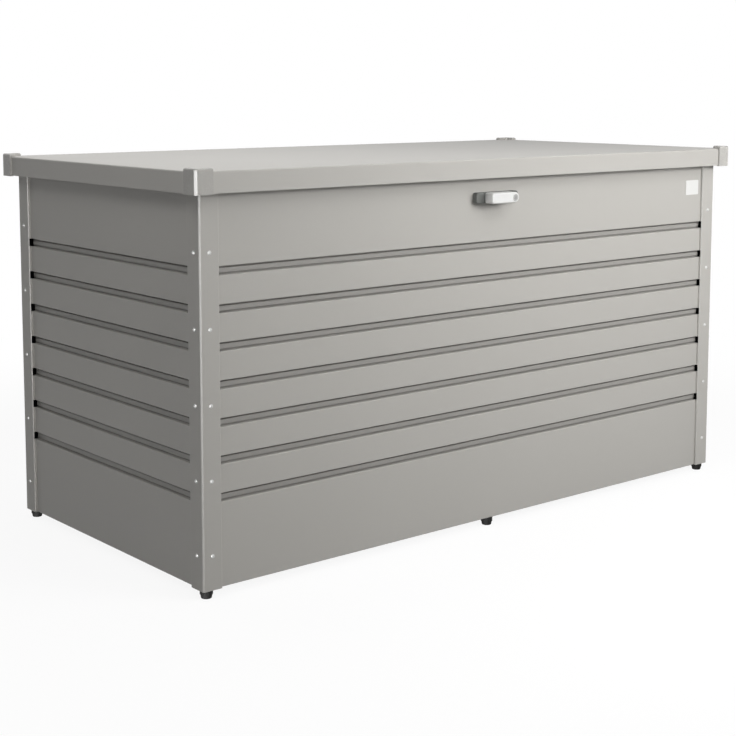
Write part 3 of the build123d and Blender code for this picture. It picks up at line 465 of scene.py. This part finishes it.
PAINT = PowderCoat("powder_coat", (0.402, 0.390, 0.366), 0.42, specular=0.3)
WALL_PAINT = GroovedPaint("wall_coat", PAINT.colour, PAINT.roughness, specular=PAINT.specular)
CAP = MouldedPlastic("cap_moulding", (0.385, 0.374, 0.352), 0.27, specular=0.4, grain_depth=0.00002)
GALVANISED = GalvanisedSheet(
    "galvanised_sheet", (0.40, 0.41, 0.415), 0.5, metallic=0.1, specular=0.3
)
FOOT = MouldedPlastic("foot_moulding", (0.006, 0.006, 0.006), 0.6, specular=0.15)
ZINC = PlatedSteel("bright_zinc", (0.60, 0.60, 0.59), 0.42, metallic=0.07, specular=0.3)
HINGE = PlatedSteel(
    "hinge_zinc", (0.42, 0.42, 0.41), 0.45, metallic=0.1, specular=0.3, stretch=(0.08, 1.0, 1.0)
)
STRUT_BLACK = PowderCoat("strut_enamel", (0.018, 0.018, 0.02), 0.32, peel_depth=0.00002)
STRUT_CHROME = PlatedSteel(
    "ground_rod", (0.50, 0.50, 0.51), 0.3, metallic=0.15, specular=0.4, spread=0.03
)
LOCK_BLACK = MouldedPlastic("lock_moulding", (0.135, 0.140, 0.132), 0.55, specular=0.15)
LOCK_SILVER = PlatedSteel(
    "lever_satin", (0.63, 0.63, 0.62), 0.4, specular=0.4, stretch=(0.06, 1.0, 1.0), spread=0.04
)
LOCK_PLUG = PlatedSteel("plug_turned", (0.36, 0.36, 0.35), 0.5, metallic=0.2, specular=0.3)
LOCK_STEEL = PlatedSteel("cam_zinc", (0.42, 0.42, 0.41), 0.4, metallic=0.1, specular=0.3)
RUBBER = SoftRubber("buffer_rubber", (0.003, 0.003, 0.003), 0.7, specular=0.0)
PLATE = MouldedPlastic(
    "plate_white", (0.625, 0.625, 0.61), 0.55, specular=0.2, grain_depth=0.00001, spread=0.015
)

SLOT_FINISH: dict[Slot, Finish] = {
    Slot.PAINT: PAINT,
    Slot.CAP: CAP,
    Slot.GALVANISED: GALVANISED,
    Slot.FOOT: FOOT,
    Slot.ZINC: ZINC,
    Slot.HINGE: HINGE,
    Slot.STRUT_BLACK: STRUT_BLACK,
    Slot.STRUT_CHROME: STRUT_CHROME,
    Slot.LOCK_BLACK: LOCK_BLACK,
    Slot.LOCK_SILVER: LOCK_SILVER,
    Slot.LOCK_PLUG: LOCK_PLUG,
    Slot.LOCK_STEEL: LOCK_STEEL,
    Slot.RUBBER: RUBBER,
    Slot.PLATE: PLATE,
}


def dress_nodes(nodes: Iterable[str], slot: Slot, finish: Optional[Finish] = None) -> None:
    """Give CAD nodes the finish of a slot.

    Args:
        nodes: names of CAD nodes.
        slot: the record's slot.
        finish: a finish of the nodes' own in place of the slot's.
    """
    material = (finish or SLOT_FINISH[slot]).material()
    for name in nodes:
        node = frame["nodes"][name]
        node.data.materials.clear()
        node.data.materials.append(material)
        LOG.info("node %s wears %s", name, material.name)


RIM_SHARE = 0.3
SLOPE_SHARE = 0.25
DIMPLE_SHARE = 0.6
SMOOTH_BELOW = math.radians(35.0)
WELD_GAP = 1e-6


@dataclass(frozen=True)
class WeldRow:
    """Sizes of a row of spot welds along a flange."""

    pitch: float
    radius: float = 0.0028
    height: float = 0.0004
    flange_middle: float = 0.009


class Mould:
    """One new piece shaped by mesh operators."""

    def __init__(self) -> None:
        """Start with nothing."""
        self.mesh = bmesh.new()

    def turned(
        self, profile: Sequence[tuple[float, float]], centre: Vector, axis: Vector, steps: int = 48
    ) -> None:
        """Add a ring turned from a closed profile.

        Args:
            profile: corners as radius and height along the axis.
            centre: where the height is nought.
            axis: the way that the height runs.
            steps: divisions of the full turn.
        """
        along = axis.normalized()
        out = along.orthogonal().normalized()
        corners = [self.mesh.verts.new(centre + out * r + along * h) for r, h in profile]
        edges = [self.mesh.edges.new((a, b)) for a, b in zip(corners, corners[1:] + corners[:1])]
        bmesh.ops.spin(
            self.mesh,
            geom=corners + edges,
            cent=centre,
            axis=along,
            angle=math.tau,
            steps=steps,
            use_merge=True,
        )

    def weld_mark(self, centre: Vector, up: Vector, radius: float, height: float) -> None:
        """Add one spot weld: a low rim round a pressed dimple.

        Args:
            centre: its middle on the sheet.
            up: the sheet's outward way.
            radius: of the mark.
            height: of its rim.
        """
        out = up.normalized()
        turn = Vector((0.0, 0.0, 1.0)).rotation_difference(out).to_matrix().to_4x4()
        made = bmesh.ops.create_circle(
            self.mesh,
            cap_ends=True,
            radius=radius,
            segments=20,
            matrix=Matrix.Translation(centre) @ turn,
        )
        base = list(made["verts"][0].link_faces)
        raised = bmesh.ops.extrude_face_region(self.mesh, geom=base)
        top = [g for g in raised["geom"] if isinstance(g, bmesh.types.BMFace)]
        self._shift(top, out * height)
        bmesh.ops.inset_region(self.mesh, faces=top, thickness=radius * RIM_SHARE)
        bmesh.ops.inset_region(self.mesh, faces=top, thickness=radius * SLOPE_SHARE)
        self._shift(top, out * -height * DIMPLE_SHARE)

    def _shift(self, faces: Sequence[bmesh.types.BMFace], way: Vector) -> None:
        """Move faces with all their corners."""
        corners = list({v for f in faces for v in f.verts})
        bmesh.ops.translate(self.mesh, verts=corners, vec=way)

    def weld_rows(self, low: Vector, high: Vector, level: float, up: Vector, row: WeldRow) -> None:
        """Add spot welds along both flanges of a channel that runs along Y.

        Args:
            low: the channel's lower corner.
            high: its upper corner.
            level: height of the sheet's face.
            up: the sheet's outward way.
            row: sizes of the welds and their spacing.
        """
        count = int((high.y - low.y) / row.pitch)
        for x in (low.x + row.flange_middle, high.x - row.flange_middle):
            for i in range(count):
                y = low.y + (high.y - low.y) * (i + 0.5) / count
                self.weld_mark(Vector((x, y, level)), up, row.radius, row.height)

    def block(self, centre: Vector, size: Vector, edge: float, turn: Matrix) -> None:
        """Add a block with rounded edges.

        Args:
            centre: its middle.
            size: its length along each axis before it is turned.
            edge: radius of its edges.
            turn: its turn about its middle.
        """
        place = Matrix.Translation(centre) @ turn @ Matrix.Diagonal((*size, 1.0))
        made = bmesh.ops.create_cube(self.mesh, size=1.0, matrix=place)
        edges = list({e for v in made["verts"] for e in v.link_edges})
        bmesh.ops.bevel(
            self.mesh,
            geom=edges,
            offset=edge,
            offset_type="OFFSET",
            affect="EDGES",
            segments=3,
            profile=0.5,
            material=-1,
        )

    def piece(self, name: str, body: Body, slot: Slot, smooth: bool = True) -> bpy.types.Object:
        """Close the mesh, dress it and set it riding.

        Args:
            name: the piece's name.
            body: what it rides on.
            slot: whose finish it takes.
            smooth: whether its faces shade smoothly.

        Returns:
            The finished object.
        """
        bmesh.ops.remove_doubles(self.mesh, verts=self.mesh.verts, dist=WELD_GAP)
        bmesh.ops.recalc_face_normals(self.mesh, faces=self.mesh.faces)
        data = bpy.data.meshes.new(name)
        self.mesh.to_mesh(data)
        self.mesh.free()
        if smooth:
            data.shade_smooth()
            data.set_sharp_from_angle(angle=SMOOTH_BELOW)
        data.materials.append(SLOT_FINISH[slot].material())
        made = bpy.data.objects.new(name, data)
        bpy.context.scene.collection.objects.link(made)
        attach(made, body.value)
        LOG.info("piece %s rides on %s, %d faces", name, body.value, len(data.polygons))
        return made


@dataclass
class Casing:
    """Walls, corner posts, their screws, the floor and the blank plate."""

    walls: tuple[str, ...] = ("front_wall", "rear_wall", "left_wall", "right_wall")
    welds: WeldRow = WeldRow(pitch=0.09)

    def build(self) -> None:
        """Spot welds where the floor bearers are joined to the floor."""
        marks = Mould()
        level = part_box("floor_panel")[1].z
        for place in PLACES:
            low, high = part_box(f"floor_bearer_{place}")
            marks.weld_rows(low, high, level, Vector((0, 0, 1)), self.welds)
        marks.piece("floor_weld_marks", Body.BOX, Slot.GALVANISED)

    def dress(self) -> None:
        """Paint outside, zinc inside."""
        posts = [f"corner_post_{end}_{side}" for end in ENDS for side in SIDES]
        # the walls' paint carries painted shade in its grooves
        dress_nodes(self.walls, Slot.PAINT, WALL_PAINT)
        dress_nodes(posts, Slot.PAINT)
        dress_nodes(["floor_panel", *[f"floor_bearer_{p}" for p in PLACES]], Slot.GALVANISED)
        dress_nodes(["post_screws", "post_nuts"], Slot.ZINC)
        dress_nodes(["blank_plate"], Slot.PLATE)
        # the groove seals are near-black plugs that stand in for the shade inside the open groove
        # ends
        dress_nodes(["lid_buffers", "groove_seals"], Slot.RUBBER)


@dataclass
class Feet:
    """The six feet with grip ribs round them."""

    ribs: int = 14
    rib_width: float = 0.0016
    rib_height: float = 0.008
    rib_depth: float = 0.0016
    rib_level: float = 0.0115
    rib_radius: float = 0.0122
    rib_edge: float = 0.0004

    def build(self) -> None:
        """A ring of upright ribs on each foot."""
        for end in ENDS:
            for place in PLACES:
                low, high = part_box(f"foot_{end}_{place}")
                middle = (low + high) / 2
                grips = Mould()
                for i in range(self.ribs):
                    angle = math.tau * i / self.ribs
                    out = Vector((math.cos(angle), math.sin(angle), 0.0)) * self.rib_radius
                    spot = Vector((middle.x, middle.y, low.z + self.rib_level)) + out
                    size = Vector((self.rib_depth, self.rib_width, self.rib_height))
                    grips.block(spot, size, self.rib_edge, Matrix.Rotation(angle, 4, "Z"))
                grips.piece(f"foot_grip_{end}_{place}", Body.BOX, Slot.FOOT)

    def dress(self) -> None:
        """Black mouldings on zinc screws."""
        dress_nodes([f"foot_{end}_{place}" for end in ENDS for place in PLACES], Slot.FOOT)
        dress_nodes(["foot_screws", "foot_nuts"], Slot.ZINC)


@dataclass
class Lid:
    """Lid sheet, corner caps, stiffeners and catch."""

    welds: WeldRow = WeldRow(pitch=0.085)
    sheet: float = 0.0012

    def build(self) -> None:
        """Spot welds along both flanges of each stiffener."""
        marks = Mould()
        for place in PLACES:
            low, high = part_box(f"lid_stiffener_{place}")
            marks.weld_rows(low, high, high.z - self.sheet, Vector((0, 0, -1)), self.welds)
        marks.piece("stiffener_weld_marks", Body.LID, Slot.GALVANISED)

    def dress(self) -> None:
        """Paint on the sheet, moulded caps, zinc below."""
        dress_nodes(["lid_panel"], Slot.PAINT)
        dress_nodes([f"lid_cap_{end}_{side}" for end in ENDS for side in SIDES], Slot.CAP)
        dress_nodes(["lid_catch", *[f"lid_stiffener_{p}" for p in PLACES]], Slot.GALVANISED)


@dataclass
class Hinges:
    """Three butt hinges with pins, rivets and washers between their knuckles."""

    washer_inner: float = 0.0028
    washer_outer: float = 0.0046
    washer_half: float = 0.00035
    gap_middle: float = 0.0195

    def build(self) -> None:
        """A thin washer in each gap between the knuckles."""
        inner, outer, half = self.washer_inner, self.washer_outer, self.washer_half
        profile = ((inner, -half), (outer, -half), (outer, half), (inner, half))
        for place in PLACES:
            pin = sum(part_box(f"hinge_{place}_pin"), Vector()) / 2
            leaf = sum(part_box(f"hinge_{place}_body_leaf"), Vector()) / 2
            washers = Mould()
            for way in (-1, 1):
                spot = Vector((leaf.x + way * self.gap_middle, pin.y, pin.z))
                washers.turned(profile, spot, Vector((1.0, 0.0, 0.0)))
            washers.piece(f"hinge_washers_{place}", Body.BOX, Slot.RUBBER)

    def dress(self) -> None:
        """Plated leaves, bright pins and rivets."""
        leaves = [f"hinge_{p}_{leaf}_leaf" for p in PLACES for leaf in ("body", "lid")]
        dress_nodes(leaves, Slot.HINGE)
        dress_nodes([f"hinge_{p}_pin" for p in PLACES], Slot.ZINC)
        dress_nodes(["hinge_body_rivets", "hinge_lid_rivets"], Slot.ZINC)


@dataclass
class Struts:
    """Two gas struts between the side walls and the lid."""

    tube_radius: float = 0.009
    rod_radius: float = 0.004
    shown_rod: float = 0.075
    wiper_gap: float = 0.0003
    wiper_inset: float = 0.0016
    wiper_outer_taper: tuple[float, float] = (0.0006, 0.0022)
    wiper_inner_taper: tuple[float, float] = (0.0004, 0.0026)
    crimp_back: float = 0.013
    crimp_sunk: float = 0.0004
    crimp_profile: tuple[tuple[float, float], ...] = (
        (0.0, -0.003),
        (0.0009, -0.002),
        (0.0011, 0.0),
        (0.0009, 0.002),
        (0.0, 0.003),
    )

    def line(self, side: str) -> tuple[Vector, Vector]:
        """Lower and upper pivot of a strut at rest."""
        spots = {j["child"]: Vector(j["pos_m"]) for j in frame["joints"]}
        return spots[f"strut_cylinder_{side}"], spots[f"strut_rod_{side}"]

    def build(self) -> None:
        """A wiper ring on each gland and a crimped band behind it."""
        for side in SIDES:
            foot, head = self.line(side)
            along = (head - foot).normalized()
            end = head - along * self.shown_rod
            body = Body.CYLINDER_LEFT if side == "left" else Body.CYLINDER_RIGHT
            inner = self.rod_radius + self.wiper_gap
            outer = self.tube_radius - self.wiper_inset
            outer_in, outer_up = self.wiper_outer_taper
            inner_out, inner_up = self.wiper_inner_taper
            lip = ((outer - outer_in, outer_up), (inner + inner_out, inner_up))
            wiper = Mould()
            wiper.turned(((inner, 0.0), (outer, 0.0), *lip), end, along)
            wiper.piece(f"strut_wiper_{side}", body, Slot.RUBBER)
            skin = self.tube_radius - self.crimp_sunk
            bead = [(skin + rise, run) for rise, run in self.crimp_profile]
            band = Mould()
            band.turned(bead, end - along * self.crimp_back, along)
            band.piece(f"strut_band_{side}", body, Slot.STRUT_BLACK)

    def dress(self) -> None:
        """Enamelled tubes, ground rods, zinc brackets."""
        dress_nodes([f"strut_cylinder_{s}" for s in SIDES], Slot.STRUT_BLACK)
        dress_nodes([f"strut_rod_{s}" for s in SIDES], Slot.STRUT_CHROME)
        brackets = [f"strut_{end}_bracket_{s}" for end in ("body", "lid") for s in SIDES]
        dress_nodes(brackets, Slot.GALVANISED)


@dataclass
class Lock:
    """Turning lock lever with its base, key plug and cam."""

    bezel_inner: float = 0.0073
    bezel_outer: float = 0.0088
    bezel_height: float = 0.0009
    bezel_slope: float = 0.0007
    bezel_sunk: float = 0.0008

    def build(self) -> None:
        """A raised bezel round the key plug."""
        low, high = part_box("key_plug")
        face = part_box("lock_handle")[0].y
        centre = Vector(((low.x + high.x) / 2, face, (low.z + high.z) / 2))
        ring = Mould()
        ring.turned(
            (
                (self.bezel_inner, -self.bezel_sunk),
                (self.bezel_inner, self.bezel_height),
                (self.bezel_outer - self.bezel_slope, self.bezel_height),
                (self.bezel_outer, 0.0),
                (self.bezel_outer, -self.bezel_sunk),
            ),
            centre,
            Vector((0.0, -1.0, 0.0)),
        )
        ring.piece("key_bezel", Body.HANDLE, Slot.LOCK_SILVER)

    def dress(self) -> None:
        """Satin lever on a dark base, steel works."""
        dress_nodes(["lock_base"], Slot.LOCK_BLACK)
        dress_nodes(["lock_handle"], Slot.LOCK_SILVER)
        dress_nodes(["key_plug"], Slot.LOCK_PLUG)
        dress_nodes(["lock_cam"], Slot.LOCK_STEEL)
        dress_nodes(["lock_nut", "lock_cam_screw"], Slot.ZINC)


@dataclass(frozen=True)
class Lamp:
    """One soft box of the studio."""

    name: str
    spot: Point
    aim: Point
    width: float
    height: float
    watts: float
    sheen_only: bool = False

    def hang(self) -> None:
        """Add the lamp to the scene; a sheen lamp is only mirrored, and any other only lights."""
        data = bpy.data.lights.new(self.name, "AREA")
        data.shape = "RECTANGLE"
        data.size = self.width
        data.size_y = self.height
        data.energy = self.watts
        lamp = bpy.data.objects.new(self.name, data)
        lamp.visible_camera = False
        lamp.visible_diffuse = not self.sheen_only
        lamp.visible_glossy = self.sheen_only
        lamp.location = self.spot
        way = Vector(self.aim) - Vector(self.spot)
        lamp.rotation_euler = way.to_track_quat("-Z", "Y").to_euler()
        bpy.context.scene.collection.objects.link(lamp)
        LOG.info("lamp %s, %.0f W", self.name, self.watts)


@dataclass
class Studio:
    """White studio: floor, sky, soft boxes and the camera."""

    floor_half: float = 14.0
    floor_colour: Colour = (0.35, 0.35, 0.35)
    floor_seen: Colour = (0.95, 0.95, 0.95)
    floor_glow: float = 0.9
    glow_start: float = 1.1
    glow_full: float = 2.6
    sky: float = 0.08
    eye: Point = (-2.2621, -2.6570, 0.9836)
    yaw: float = 0.6887
    pitch: float = 0.1098
    focal_pixels: float = 1467.74
    shift: tuple[float, float] = (0.0081, -0.165)
    lamps: tuple[Lamp, ...] = field(
        default_factory=lambda: (
            Lamp("key_box", (1.05, -2.6, 1.4), (0.1, -0.36, 0.6), 1.2, 0.8, 30.0),
            Lamp("strip_box", (0.55, -1.5, 1.1), (0.4, -0.38, 0.7), 1.8, 0.4, 10.6),
            Lamp("high_box", (0.2, -1.3, 1.7), (0.15, -0.38, 0.6), 1.6, 0.6, 9.6),
            Lamp("left_box", (-1.9, -0.85, 2.3), (-0.8, -0.2, 0.5), 1.0, 1.0, 14.2),
            Lamp("lid_box", (-0.55, 0.3, 2.1), (-0.55, 0.3, 0.8), 1.0, 0.8, 10.6),
            Lamp("back_box", (0.4, 3.4, 0.45), (0.1, 0.36, 0.45), 2.6, 0.7, 60.0),
            Lamp("right_box", (3.3, 0.0, 0.7), (0.8, 0.0, 0.45), 1.6, 0.7, 34.0),
            Lamp("edge_card", (-2.9, -1.75, 0.0), (-0.795, -0.395, 0.4), 5.0, 4.0, 1050.0, True),
        )
    )

    @staticmethod
    def seen(shader: Shader) -> Socket:
        """One for rays that the camera, gloss or glass look along, else nought."""
        kinds = ("Is Camera Ray", "Is Glossy Ray", "Is Transmission Ray")
        camera, gloss, glass = [shader.node("ShaderNodeLightPath", output=k) for k in kinds]
        return camera.larger(gloss).larger(glass)

    def lay_floor(self) -> None:
        """A pale floor that looks white and keeps a soft shadow."""
        mesh = bmesh.new()
        bmesh.ops.create_grid(mesh, x_segments=1, y_segments=1, size=self.floor_half)
        data = bpy.data.meshes.new("floor")
        mesh.to_mesh(data)
        mesh.free()
        made = bpy.data.materials.new("floor_white")
        shader = Shader(made)
        camera = shader.node("ShaderNodeLightPath", output="Is Camera Ray")
        lit = shader.node("ShaderNodeBsdfDiffuse", inputs={"Color": rgba(self.floor_colour)})
        pale = shader.node("ShaderNodeBsdfDiffuse", inputs={"Color": rgba(self.floor_seen)})
        matt = shader.node("ShaderNodeMixShader", inputs={0: camera, 1: lit, 2: pale})
        glow = shader.node("ShaderNodeEmission", inputs={"Color": WHITE, "Strength": 1.0})
        away = shader.node(
            "ShaderNodeVectorMath", {"operation": "LENGTH"}, {0: shader.place()}, "Value"
        )
        reach = {"From Min": self.glow_start, "From Max": self.glow_full, "To Min": self.floor_glow}
        whiten = shader.node(
            "ShaderNodeMapRange", {"interpolation_type": "SMOOTHSTEP"}, {"Value": away, **reach}
        )
        share = self.seen(shader) * whiten
        shader.close(shader.node("ShaderNodeMixShader", inputs={0: share, 1: matt, 2: glow}))
        data.materials.append(made)
        floor = bpy.data.objects.new("floor", data)
        floor.visible_glossy = False
        bpy.context.scene.collection.objects.link(floor)

    def light(self) -> None:
        """White sky to look at, a dimmer one to light by, and the soft boxes."""
        world = bpy.data.worlds.new("studio")
        bpy.context.scene.world = world
        shader = Shader(world)
        dim = shader.node("ShaderNodeBackground", inputs={"Color": WHITE, "Strength": self.sky})
        white = shader.node("ShaderNodeBackground", inputs={"Color": WHITE, "Strength": 1.0})
        both = shader.node("ShaderNodeMixShader", inputs={0: self.seen(shader), 1: dim, 2: white})
        shader.close(both, "ShaderNodeOutputWorld")
        for lamp in self.lamps:
            lamp.hang()

    def set_camera(self) -> None:
        """The photograph's viewpoint."""
        data = bpy.data.cameras.new("camera")
        data.sensor_fit = "HORIZONTAL"
        data.sensor_width = SENSOR_MM
        data.lens = self.focal_pixels / FRAME_PIXELS * SENSOR_MM
        data.shift_x, data.shift_y = self.shift
        data.clip_start = 0.05
        data.clip_end = 100.0
        camera = bpy.data.objects.new("camera", data)
        camera.location = self.eye
        level = math.cos(self.pitch)
        ahead = Vector(
            (math.sin(self.yaw) * level, math.cos(self.yaw) * level, -math.sin(self.pitch))
        )
        camera.rotation_euler = ahead.to_track_quat("-Z", "Y").to_euler()
        bpy.context.scene.collection.objects.link(camera)
        bpy.context.scene.camera = camera

    def build(self) -> None:
        """Set up everything that isn't the object."""
        self.lay_floor()
        self.light()
        self.set_camera()
        bpy.context.scene.view_settings.view_transform = "Standard"


def write_sizes() -> None:
    """Update the view layer."""
    bpy.context.view_layer.update()


def main() -> None:
    """Build and dress every sub-assembly, then the studio."""
    logging.basicConfig(level=logging.INFO, format="%(name)s: %(message)s")
    for group in (Casing(), Feet(), Lid(), Hinges(), Struts(), Lock()):
        group.build()
        group.dress()
        LOG.info("%s is done", type(group).__name__)
    Studio().build()
    write_sizes()


if __name__ == "__main__":
    main()
